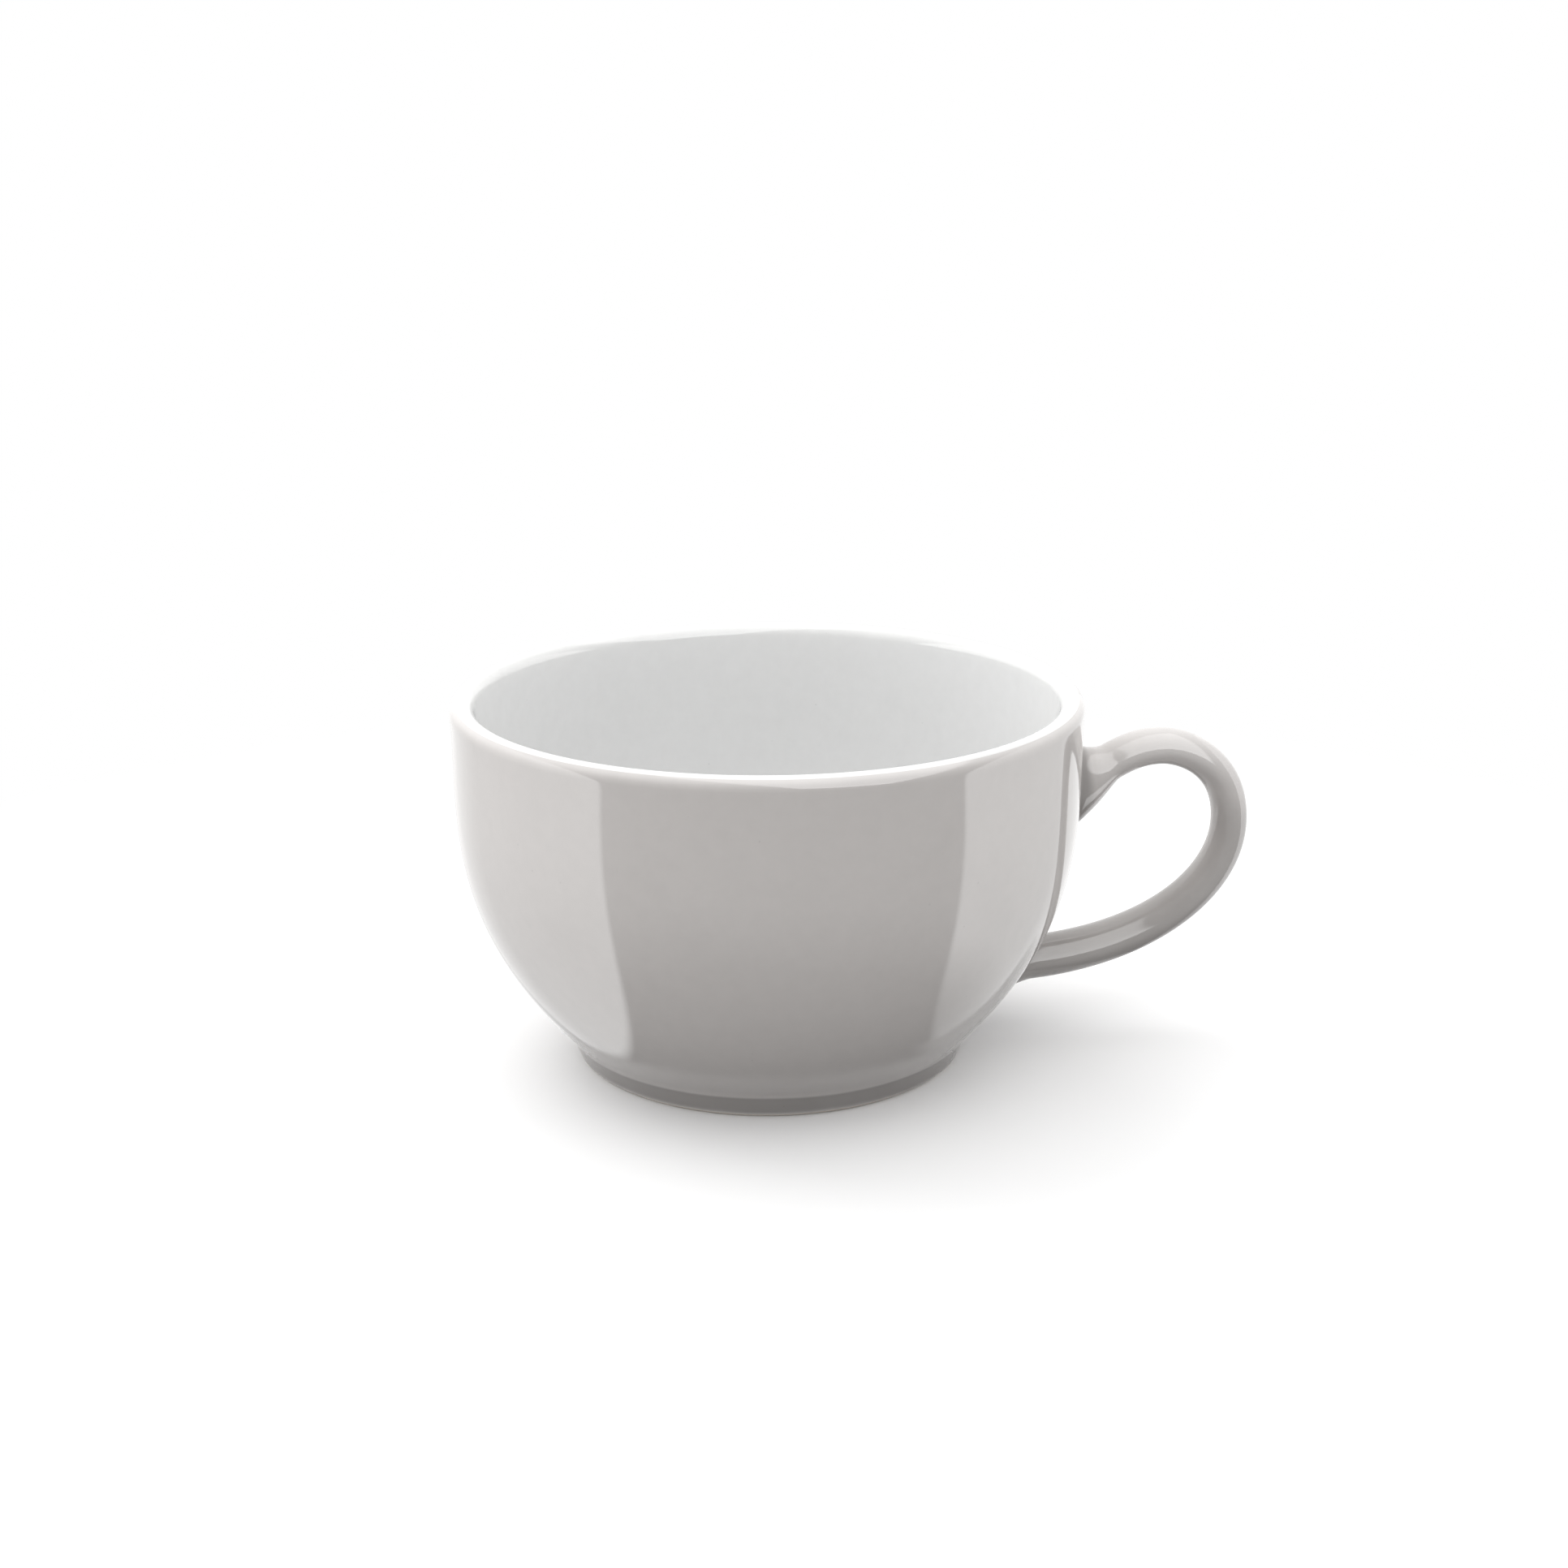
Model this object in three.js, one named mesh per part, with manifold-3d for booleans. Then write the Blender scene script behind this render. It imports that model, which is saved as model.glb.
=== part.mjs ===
// Glazed porcelain coffee cup: a round bowl on a low foot ring, with one loop handle.
// Millimetres, +Z up. The cup stands on the XY plane and its handle points along +X.
// The origin is the middle of the ground that the cup and its handle cover.

import * as THREE from 'three';
import { mergeVertices } from 'three/addons/utils/BufferGeometryUtils.js';
import Module from 'manifold-3d';

const wasm = await Module();
wasm.setup();

const { clamp, degToRad, radToDeg, lerp, smoothstep } = THREE.MathUtils;
const point = (radius, height) => new THREE.Vector2(radius, height);
const directionAt = (degrees) => point(Math.cos(degToRad(degrees)), Math.sin(degToRad(degrees)));

// Bowl, measured over the glaze
const cupHeight = 59.3;
const bowlRadius = 50;
const lipRadius = 1.9; // the lip is round, so it is twice this thick
const wallLean = 2.9; // degrees that the wall still opens outwards at the lip
const wallLipPull = 16; // how far down the wall keeps to that lean
const wallFootRise = 47; // degrees that the wall rises where it leaves the foot
const wallFootPull = 28; // how far up the wall keeps to that rise
const wallThickness = 4.4; // low in the bowl
const floorHeight = 8; // inside of the bowl, above the table
const floorRoundTop = 21; // where the inside of the wall turns into the floor's round

// Foot ring
const footRadius = 31.5; // at its lower edge
const footHeight = 4.1; // up to the corner under the wall
const footLean = 1.3; // how far the foot's face opens on the way up
const footFillet = 1.3; // how far the corner's round reaches along face and wall
const footEdge = 0.6; // round lower edge, left bare by the glaze
const standWidth = 2.2; // flat ring that touches the table
const recessHeight = 2.7; // glazed underside, above the table
const recessLean = 1.4; // how far the inside of the ring closes on the way up
const recessFillet = 0.8;

// Handle, measured over the glaze; its middle line lies in the XZ plane
const handleReach = 30; // how far it stands out from the lip
const crestDrop = 9.1; // top of the handle, below the lip
const crestOut = 14.7; // middle of the crest, out from the lip
const upperRootDrop = 4.9; // middle of the upper root, below the middle of the crest
const upperRootRise = 9; // degrees that the handle rises where it leaves the upper root
const bowDrop = 13.3; // outermost point, below the middle of the crest
const lowerRootRise = 7.4; // middle of the lower root, above the foot's corner
const upperRootPull = 6.4; // how far each stretch of the middle line keeps its direction
const crestInnerPull = 6.8;
const crestOuterPull = 4;
const bowUpperPull = 10.2;
const bowLowerPull = 11.9;
const lowerRootPull = 23.5;
const crestThickness = 5.9;
const bowThickness = 5.7;
const lowerRootThickness = 7;
const crestWidth = 7.8;
const bowWidth = 7.8;
const lowerRootWidth = 8.8;
const upperFlare = 4.6; // how far the upper root opens, up and down
const upperFlareWidth = 2.2; // and to each side
const upperFlareLength = 7.2; // out from the wall
const upperFlareEase = 1.3; // 1 is a straight cone, more is a trumpet
const lowerFlare = 0.9; // all round the lower root
const lowerFlareLength = 4.5;

// Layers
const glazeThickness = 0.35;
const glazeSeat = 0.05; // between a coat of glaze and the porcelain under it
const lipBorder = 38; // degrees up the lip's outer side where the two glazes meet
const slipThickness = 0.8; // clay that sticks the handle on
const seam = 0.3; // left between pieces that are cut to each other
const coat = glazeThickness + glazeSeat;

// Facets
const facetsRound = 48;
const facetsSection = 16;
const stepsHandle = 36;
const stepsWall = 9;
const stepsInside = 7;
const stepsLip = 2;
const stepsFillet = 2;
const stepsFloor = 3;
const halvings = 40; // steps of a search along a curve

const porcelain = new THREE.MeshStandardMaterial({ color: 0xe8e2d8, roughness: 0.62, metalness: 0 });
const greyGlaze = new THREE.MeshStandardMaterial({ color: 0xb3aeab, roughness: 0.1, metalness: 0 });
const whiteGlaze = new THREE.MeshStandardMaterial({ color: 0xf3f3f1, roughness: 0.1, metalness: 0 });

// A closed geometry as a solid that can be cut.
function toSolid(geometry) {
	geometry.deleteAttribute('normal');
	geometry.deleteAttribute('uv');
	const merged = mergeVertices(geometry);
	const corners = merged.index.array;
	const kept = [];
	for (let i = 0; i < corners.length; i += 3) {
		const [a, b, c] = corners.slice(i, i + 3);
		if (a !== b && b !== c && c !== a) kept.push(a, b, c);
	}
	return new wasm.Manifold(new wasm.Mesh({
		numProp: 3,
		vertProperties: new Float32Array(merged.attributes.position.array),
		triVerts: new Uint32Array(kept),
	}));
}

// A solid as a named mesh.
function toMesh(name, solid, material) {
	const { vertProperties, triVerts } = solid.getMesh();
	const geometry = new THREE.BufferGeometry();
	geometry.setAttribute('position', new THREE.BufferAttribute(vertProperties, 3));
	geometry.setIndex(new THREE.BufferAttribute(triVerts, 1));
	geometry.computeVertexNormals();
	const mesh = new THREE.Mesh(geometry, material.clone());
	mesh.name = name;
	return mesh;
}

// A solid of revolution about Z. The profile runs upwards on its outer side.
function revolve(profile) {
	return toSolid(new THREE.LatheGeometry(profile, facetsRound).rotateX(Math.PI / 2));
}

// Stations along a chain of plane curves that run smoothly into each other: each has its place
// and the direction out of the porcelain, which lies to the left of the way along the chain.
function stationsAlong(chain) {
	const stations = [];
	chain.forEach(([curve, steps], index) => {
		for (let i = index === 0 ? 0 : 1; i <= steps; i++) {
			const tangent = curve.getTangent(i / steps);
			stations.push({ place: curve.getPoint(i / steps), out: point(tangent.y, -tangent.x) });
		}
	});
	return stations;
}

// The line through the stations, moved outwards by a distance.
function lineOff(stations, distance) {
	return stations.map(({ place, out }) => place.clone().addScaledVector(out, distance));
}

// Share of a rising curve's run at which it passes a height.
function shareAtHeight(curve, height) {
	let low = 0;
	let high = 1;
	for (let i = 0; i < halvings; i++) {
		const middle = (low + high) / 2;
		if (curve.getPoint(middle).y < height) low = middle;
		else high = middle;
	}
	return low;
}

// A round between two straight runs that meet at a corner.
function cornerRound(corner, before, after, reach) {
	const start = corner.clone().addScaledVector(before, -reach);
	const end = corner.clone().addScaledVector(after, reach);
	return new THREE.QuadraticBezierCurve(start, corner, end);
}

// Outside of the bowl: the foot's face, the round under the wall, and the wall up to the lip
const footBottom = point(footRadius, footEdge);
const footCorner = point(footRadius + footLean, footHeight);
const faceWay = footCorner.clone().sub(footBottom).normalize();
const wallWay = directionAt(wallFootRise);
const footRound = cornerRound(footCorner, faceWay, wallWay, footFillet);
const footFace = new THREE.LineCurve(footBottom, footRound.v0);
const lipMiddle = point(bowlRadius - lipRadius, cupHeight - lipRadius);
const leanWay = directionAt(90 - wallLean);
const wallTop = lipMiddle.clone().add(point(leanWay.y, -leanWay.x).multiplyScalar(lipRadius));
const wall = new THREE.CubicBezierCurve(
	footRound.v2,
	footRound.v2.clone().addScaledVector(wallWay, wallFootPull),
	wallTop.clone().addScaledVector(leanWay, -wallLipPull),
	wallTop,
);

// The lip between two angles, in degrees up from its outer side
function lipArc(from, to) {
	const arc = [degToRad(from), degToRad(to)];
	return new THREE.EllipseCurve(lipMiddle.x, lipMiddle.y, lipRadius, lipRadius, ...arc);
}
const glazeGap = radToDeg(glazeSeat / lipRadius); // between the two glazes on the lip
const outerLip = lipArc(-wallLean, lipBorder - glazeGap);
const crownLip = lipArc(lipBorder, 90);
const innerLip = lipArc(90, 180 - wallLean);

// Inside of the bowl: parallel to the wall and a little thicker downwards, then round into the floor
const inside = new THREE.Curve();
inside.getPoint = (share) => {
	const tangent = wall.getTangent(share);
	const thickness = lerp(wallThickness, 2 * lipRadius, share);
	return wall.getPoint(share).add(point(-tangent.y, tangent.x).multiplyScalar(thickness));
};
const floorShare = shareAtHeight(inside, floorRoundTop);
const insideWall = new THREE.Curve();
insideWall.getPoint = (share) => inside.getPoint(lerp(1, floorShare, share));
const insideEnd = insideWall.getPoint(1);
const insideWay = insideWall.getTangent(1);
const floorCorner = insideEnd.clone().addScaledVector(insideWay, (floorHeight - insideEnd.y) / insideWay.y);
const floorRound = cornerRound(floorCorner, insideWay, point(-1, 0), floorCorner.distanceTo(insideEnd));
const floor = new THREE.LineCurve(floorRound.v2, point(0, floorHeight));

// Underside, from its middle out to the inner edge of the foot ring
const standOuter = footRadius - coat - footEdge;
const standInner = standOuter - standWidth;
const recessBottom = point(standInner - footEdge - coat, footEdge);
const recessCorner = point(recessBottom.x - recessLean, recessHeight);
const recessWay = recessBottom.clone().sub(recessCorner).normalize();
const recessRound = cornerRound(recessCorner, point(1, 0), recessWay, recessFillet);
const ceiling = new THREE.LineCurve(point(0, recessHeight), recessRound.v0);
const recessWall = new THREE.LineCurve(recessRound.v2, recessBottom);

const outsideStations = stationsAlong([
	[footFace, 1],
	[footRound, stepsFillet],
	[wall, stepsWall],
	[outerLip, stepsLip],
]);
const insideStations = stationsAlong([
	[crownLip, stepsLip],
	[innerLip, stepsLip],
	[insideWall, stepsInside],
	[floorRound, stepsFloor],
	[floor, 1],
]);
const undersideStations = stationsAlong([
	[ceiling, 1],
	[recessRound, stepsFillet],
	[recessWall, 1],
]);

// The porcelain bowl: every glazed surface moved in by its coat, joined under the foot by the
// bare ring with its round edges.
function bareEdge(middleRadius, from, to) {
	return new THREE.EllipseCurve(middleRadius, footEdge, footEdge, footEdge, from, to).getPoints(stepsFillet);
}
const bowlProfile = [
	...lineOff(undersideStations, -coat),
	...bareEdge(standInner, Math.PI, 1.5 * Math.PI),
	...bareEdge(standOuter, -0.5 * Math.PI, 0),
	...lineOff(outsideStations, -coat),
	...lineOff(insideStations, -coat),
];
const cupBody = revolve(bowlProfile);

// A coat of glaze on one run of stations.
function glazeOn(stations) {
	const over = lineOff(stations, 0);
	const under = lineOff(stations, -glazeThickness);
	return revolve([...over, ...under.reverse(), over[0]]);
}

// The bowl filled up to its lip, with its outside moved out by a distance: what the handle is cut to.
function filledBowl(distance) {
	const outside = lineOff(outsideStations, distance);
	const top = outside[outside.length - 1];
	return revolve([point(0, outside[0].y), ...outside, point(0, top.y)]);
}

// Radius of the wall's outside at a height.
function wallRadiusAt(height) {
	return wall.getPoint(shareAtHeight(wall, height)).x;
}

// Middle line of the handle, in radius and height: out of the wall at the upper root, over the
// crest, round the bow and back into the wall at the lower root, starting and ending inside the wall.
const crest = point(bowlRadius + crestOut, cupHeight - crestDrop - crestThickness / 2);
const bow = point(bowlRadius + handleReach - bowThickness / 2, crest.y - bowDrop);
const upperRootHeight = crest.y - upperRootDrop;
const upperRoot = point(wallRadiusAt(upperRootHeight), upperRootHeight);
const lowerRootHeight = footHeight + lowerRootRise;
const lowerRoot = point(wallRadiusAt(lowerRootHeight), lowerRootHeight);
const upperRootWay = directionAt(upperRootRise);
const rootDepth = wallThickness; // the middle line starts this far inside the wall
const handleStart = upperRoot.clone().addScaledVector(upperRootWay, -rootDepth);
const handlePath = new THREE.Path();
handlePath.moveTo(handleStart.x, handleStart.y);
handlePath.lineTo(upperRoot.x, upperRoot.y);
const upperRootEnd = upperRoot.clone().addScaledVector(upperRootWay, upperRootPull);
handlePath.bezierCurveTo(upperRootEnd.x, upperRootEnd.y, crest.x - crestInnerPull, crest.y, crest.x, crest.y);
handlePath.bezierCurveTo(crest.x + crestOuterPull, crest.y, bow.x, bow.y + bowUpperPull, bow.x, bow.y);
const lowerRootEnd = lowerRoot.x + lowerRootPull;
handlePath.bezierCurveTo(bow.x, bow.y - bowLowerPull, lowerRootEnd, lowerRoot.y, lowerRoot.x, lowerRoot.y);
handlePath.lineTo(lowerRoot.x - rootDepth, lowerRoot.y);
const [upperRootAt, crestAt, bowAt, lowerRootAt] = handlePath.getCurveLengths();

// Half thickness and half width of the handle at a length along its middle line.
function handleSection(along) {
	const toBow = smoothstep(along, crestAt, bowAt);
	const toRoot = smoothstep(along, bowAt, lowerRootAt);
	const thickness = lerp(lerp(crestThickness, bowThickness, toBow), lowerRootThickness, toRoot);
	const width = lerp(lerp(crestWidth, bowWidth, toBow), lowerRootWidth, toRoot);
	const atUpper = clamp(1 - (along - upperRootAt) / upperFlareLength, 0, 1) ** upperFlareEase;
	const atLower = 1 - smoothstep(lowerRootAt - along, 0, lowerFlareLength);
	return {
		halfThickness: thickness / 2 + upperFlare * atUpper + lowerFlare * atLower,
		halfWidth: width / 2 + upperFlareWidth * atUpper + lowerFlare * atLower,
	};
}

// The handle as an oval bar lofted along its middle line, grown by a distance all round.
function handleBar(grow) {
	const bar = new THREE.CylinderGeometry(1, 1, 1, facetsSection, stepsHandle);
	const places = bar.attributes.position;
	const length = handlePath.getLength();
	for (let i = 0; i < places.count; i++) {
		const share = 0.5 - places.getY(i);
		const middle = handlePath.getPoint(share);
		const tangent = handlePath.getTangent(share);
		const { halfThickness, halfWidth } = handleSection(share * length);
		const across = places.getX(i) * (halfWidth + grow);
		const outwards = places.getZ(i) * (halfThickness + grow);
		places.setXYZ(i, middle.x - tangent.y * outwards, across, middle.y + tangent.x * outwards);
	}
	return toSolid(bar);
}

// One block over and one under the middle of the finger gap, to tell the two roots apart.
function halfSpace(upper) {
	const size = 4 * (bowlRadius + handleReach);
	const block = new THREE.BoxGeometry(size, size, size);
	const middle = (upperRoot.y + lowerRoot.y) / 2;
	return toSolid(block.translate(0, 0, middle + (upper ? size : -size) / 2));
}

// The handle and the slip under its roots share one bar of porcelain under the handle's glaze.
const slipFrom = seam - coat;
const slipTo = slipFrom + slipThickness;
const bareBar = handleBar(-coat);
const handle = bareBar.subtract(filledBowl(slipTo + seam));
const slip = bareBar.intersect(filledBowl(slipTo)).subtract(filledBowl(slipFrom));
const handleGlaze = handleBar(0).subtract(handleBar(-glazeThickness)).subtract(filledBowl(slipFrom));
const outerGlaze = glazeOn(outsideStations).subtract(handleBar(seam));

const cup = new THREE.Group();
cup.add(
	toMesh('cup_body', cupBody, porcelain),
	toMesh('handle', handle, porcelain),
	toMesh('upper_slip_joint', slip.intersect(halfSpace(true)), porcelain),
	toMesh('lower_slip_joint', slip.intersect(halfSpace(false)), porcelain),
	toMesh('outer_glaze', outerGlaze, greyGlaze),
	toMesh('handle_glaze', handleGlaze, greyGlaze),
	toMesh('inner_glaze', glazeOn(insideStations), whiteGlaze),
	toMesh('base_glaze', glazeOn(undersideStations), whiteGlaze),
);

// The bowl's axis moves back so that the origin is the middle of the covered ground.
cup.position.x = -new THREE.Box3().setFromObject(cup).getCenter(new THREE.Vector3()).x;

export default cup;
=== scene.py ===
import math
from bisect import bisect_left
from collections import namedtuple

import bmesh
import bpy
from bpy.props import FloatProperty, FloatVectorProperty, PointerProperty
from bpy.types import NodeSocket, Operator, Panel, PropertyGroup
from mathutils import Matrix, Vector
from mathutils.geometry import interpolate_bezier


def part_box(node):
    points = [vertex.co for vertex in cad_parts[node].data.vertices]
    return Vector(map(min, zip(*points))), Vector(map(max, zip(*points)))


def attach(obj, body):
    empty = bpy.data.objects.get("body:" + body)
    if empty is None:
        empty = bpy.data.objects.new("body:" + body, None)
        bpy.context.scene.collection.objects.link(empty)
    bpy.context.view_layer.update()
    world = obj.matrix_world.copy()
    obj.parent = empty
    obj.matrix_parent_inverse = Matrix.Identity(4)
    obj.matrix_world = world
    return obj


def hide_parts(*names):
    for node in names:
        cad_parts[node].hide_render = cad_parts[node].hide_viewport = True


bl_info = {
    "name": "Coffee Cup",
    "version": (1, 0, 0),
    "blender": (4, 5, 0),
    "location": "3D View > Sidebar > Cup",
    "description": "Makes a glazed coffee cup's smooth pieces over its packed solids, and a stage for it",
    "category": "Object",
}

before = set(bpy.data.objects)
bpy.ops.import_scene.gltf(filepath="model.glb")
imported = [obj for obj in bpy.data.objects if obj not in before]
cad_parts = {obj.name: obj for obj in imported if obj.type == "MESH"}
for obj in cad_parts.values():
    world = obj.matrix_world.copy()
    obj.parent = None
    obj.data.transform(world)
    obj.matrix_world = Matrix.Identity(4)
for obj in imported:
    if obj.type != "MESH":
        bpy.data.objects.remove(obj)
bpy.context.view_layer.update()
BOWL_LOW, BOWL_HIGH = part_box("cup_body")
LIP_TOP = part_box("inner_glaze")[1].z
BODY = "root"

# Attribute of a glazed surface: 0 where the glaze is thin, 0.5 in general, 1 where it has pooled; deep values
# also paint shade on the foot's face, round the handle's roots and low on the handle
DEPTH_AND_SHADE = "glaze_depth_and_shade"
THIN, EVEN, POOLED_AND_SHADE = 0.0, 0.5, 1.0
# Depths on the handle's crest and low on the handle, on the bowl's floor and at the foot ring's inside; the
# thin crest is painted light on the handle's top, the deep low value painted shade on its lower arm
LIT_CREST_DEPTH, SHADED_LOW_DEPTH, FLOOR_DEPTH, RING_DEPTH = 0.12, 0.74, 0.8, 0.3
LIP_THINNING = 0.3
# Reach of the thin glaze in radii of the lip, and of the pooled glaze and painted shade in fillets of the
# handle's root
THIN_REACH, POOL_AND_SHADE_REACH = 0.9, 4.5

# Steps along and round the pieces
ROUND_STEPS = 192
WALL_STEPS = 48
LIP_STEPS = 8
FACE_STEPS = 6
FILLET_STEPS = 8
FLOOR_STEPS = 20
SECTION_STEPS = 56
HANDLE_RINGS = 110
ROOT_RINGS = 8
LINE_STEPS = 300
HALVINGS = 40
MERGE_DISTANCE = 1e-7
SHARP_ANGLE = math.radians(32)

# Finishes: the values that a noise mostly stays between, the scale of each noise and what it changes
NOISE_LOW, NOISE_HIGH = 0.3, 0.7
DRIFT_SCALE, DRIFT = 32, 0.09
MOTTLE_SCALE, MOTTLE_ROUGH, MOTTLE = 420, 0.6, 0.015
SPECK_SCALE, SPECK_FULL, SPECK_EDGE, SPECK_DARK = 520, 0.05, 0.11, 0.1
SPECK_NONE, SPECK_CHOSEN = 0.86, 0.9
VEIL_SCALE, VEIL_HIGH, VEIL_LEAST, VEIL_MOST = 70, 0.75, 0.8, 1.5
SWELL_SCALE, PEEL_SCALE, PEEL_SHARE = 46, 480, 0.06
GRAIN_SCALE, GRAIN_ROUGH, GRAIN_LOW, GRAIN_SHARE = 2600, 0.7, 0.45, 0.6
STAIN_SCALE, STAIN_LEAST = 90, 0.4
POLISH_LEAST, POLISH_MOST = 0.85, 1.1
GLAZE_IOR = 1.52
RIPPLE_HEIGHT, RIPPLE_STRENGTH = 0.000012, 1
GRAIN_HEIGHT, GRAIN_STRENGTH = 0.00003, 0.5
# Sockets of a mix node, for values and for colours
MIX_SHARE = 0
VALUE_A, VALUE_B, VALUE_MIXED = 2, 3, 0
COLOUR_A, COLOUR_B, COLOUR_MIXED = 6, 7, 2

# Softbox: a side is a turn from -Y towards +X, a rise a turn upwards
KEY_SIDE, KEY_RISE = math.radians(-143), math.radians(45)
KEY_AWAY, KEY_SIZE = 1.2, 1.1
# Power over area that gives a lamp a brightness of 1
LAMP_POWER = 4
# Opening and roof of the tent
OPEN_SIDE, OPEN_RISE = math.radians(14), math.radians(5)
OPEN_FROM, OPEN_FULL = math.cos(math.radians(60)), math.cos(math.radians(30))
ROOF_FROM, ROOF_FULL = 0.8, 0.95
# Round panels, room and overhead window that the glaze shows
LEFT_SIDE, LEFT_REACH = math.radians(-120), math.radians(50)
RIGHT_SIDE, RIGHT_REACH = math.radians(111), math.radians(44.5)
PANEL_RISE, PANEL_SOFT = math.radians(-10), math.radians(1.5)
PANEL_LOW, PANEL_HIGH = -0.85, -0.6
LEFT_LOW_SHARE, RIGHT_LOW_SHARE = 1.15, 0.3
PANEL_BACK, PANEL_FRONT, PANEL_BACK_SHARE = -0.6, 0.45, 0.36
ROOM_BACK, ROOM_FRONT = -0.9, 0.4
ROOM_LOW, ROOM_HIGH, ROOM_LOW_SHARE = -0.78, -0.45, 0.2
WINDOW_SIDE, WINDOW_RISE = math.radians(56), math.radians(62)
WINDOW_LENGTHWISE = Vector((0.237, -0.902, -0.36))
WINDOW_WIDE, WINDOW_LONG, WINDOW_SOFT = (-0.45, 0.78), (-0.85, 1.9), 0.08
# Distances from the bowl's axis between which the floor turns white to the camera
WHITE_FROM, WHITE_TO = 0.12, 0.22
# Dark floor that the glaze shows: by the foot, and on the right behind a line
DARK_BY_FOOT = 0.0335, 0.037
DARK_ON_RIGHT = 0.022, 0.028
DARK_SIDE = math.radians(37)
DARK_LINE = 0.037, 0.04
DARK_REACH = 0.06, 0.074
# Camera: sensor in millimetres, nearest distance in metres
SENSOR_WIDTH, CLIP_START = 36, 0.01


def length(name, description, default):
    return FloatProperty(name=name, description=description, default=default, unit="LENGTH", precision=5)


def turn(name, description, degrees):
    return FloatProperty(name=name, description=description, default=math.radians(degrees), unit="ROTATION")


def colour(name, description, default):
    return FloatVectorProperty(
        name=name, description=description, default=default, size=3, min=0, max=1, subtype="COLOR"
    )


def amount(name, description, default):
    return FloatProperty(name=name, description=description, default=default, min=0)


class BowlSizes(PropertyGroup):
    """Sizes of the bowl and its foot, measured over the glaze"""

    axis: length("Axis", "Place of the bowl's axis along X", (BOWL_LOW.x + BOWL_HIGH.x) / 2)
    height: length("Height", "Top of the lip above the table", LIP_TOP)
    radius: length("Radius", "Outside of the lip", 0.05)
    lip: length("Lip", "Radius of the round lip", 0.0019)
    lean: turn("Lean", "How much the wall still opens outwards at the lip", 2.9)
    lip_pull: length("Lip pull", "How far down the wall keeps to that lean", 0.016)
    rise: turn("Rise", "How steeply the wall rises from the foot", 47)
    foot_pull: length("Foot pull", "How far up the wall keeps to that rise", 0.028)
    wall: length("Wall", "Thickness of the wall low in the bowl", 0.0044)
    floor: length("Floor", "Inside of the bowl above the table", 0.008)
    floor_round: length("Floor round", "Height where the inside turns into the floor's round", 0.021)
    foot_radius: length("Foot radius", "Foot ring at its lower edge", 0.0315)
    foot_height: length("Foot height", "Corner between foot and wall", 0.0041)
    foot_lean: length("Foot lean", "How far the foot's face opens on the way up", 0.0013)
    foot_fillet: length("Foot fillet", "Reach of the round in that corner", 0.0013)
    foot_edge: length("Foot edge", "Round lower edge that the glaze leaves bare", 0.0006)
    stand: length("Stand", "Width of the flat ring that touches the table", 0.0022)
    recess: length("Recess", "Glazed underside above the table", 0.0027)
    recess_lean: length("Recess lean", "How far the ring's inside closes on the way up", 0.0014)
    recess_fillet: length("Recess fillet", "Reach of the round inside the ring", 0.0008)
    glaze: length("Glaze", "Thickness of a coat of glaze", 0.00035)
    glaze_seat: length("Glaze seat", "Left between a coat of glaze and the porcelain", 0.00005)
    border: turn("Border", "How far up the lip's outer side the two glazes meet", 58)


class HandleSizes(PropertyGroup):
    """Sizes of the handle, measured over the glaze"""

    reach: length("Reach", "How far the handle stands out from the lip", 0.03)
    crest_drop: length("Crest drop", "Top of the handle below the lip", 0.0091)
    crest_out: length("Crest out", "Middle of the crest out from the lip", 0.0147)
    upper_drop: length("Upper root drop", "Middle of the upper root below the crest's", 0.0049)
    upper_rise: turn("Upper root rise", "How steeply the handle leaves the upper root", 9)
    bow_drop: length("Bow drop", "Outermost point below the middle of the crest", 0.0133)
    lower_rise: length("Lower root rise", "Middle of the lower root above the foot's corner", 0.0074)
    upper_pull: length("Upper root pull", "How far the line keeps to its way there", 0.0064)
    crest_in_pull: length("Crest inner pull", "The same before the crest", 0.0068)
    crest_out_pull: length("Crest outer pull", "The same after the crest", 0.004)
    bow_up_pull: length("Bow upper pull", "The same above the outermost point", 0.0102)
    bow_down_pull: length("Bow lower pull", "The same below the outermost point", 0.0119)
    lower_pull: length("Lower root pull", "The same before the lower root", 0.0235)
    crest_thick: length("Crest thickness", "Thickness at the crest", 0.0059)
    bow_thick: length("Bow thickness", "Thickness at the outermost point", 0.0057)
    lower_thick: length("Lower root thickness", "Thickness at the lower root", 0.007)
    crest_wide: length("Crest width", "Width at the crest", 0.0078)
    bow_wide: length("Bow width", "Width at the outermost point", 0.0078)
    lower_wide: length("Lower root width", "Width at the lower root", 0.0088)
    flare: length("Upper flare", "How far the upper root opens up and down", 0.0046)
    flare_wide: length("Upper flare width", "How far it opens to each side", 0.0022)
    flare_long: length("Upper flare length", "How far out from the wall it opens", 0.0072)
    flare_ease: amount("Upper flare ease", "1 is a straight cone, more is a trumpet", 1.3)
    lower_flare: length("Lower flare", "How far the lower root opens all round", 0.0009)
    lower_flare_long: length("Lower flare length", "How far out from the wall it opens", 0.0045)
    fillet: length("Root fillet", "Reach of the glazed round between handle and wall", 0.0011)
    sink: length("Root sink", "How far the round's rim lies under the bowl's glaze", 0.00012)


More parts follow.
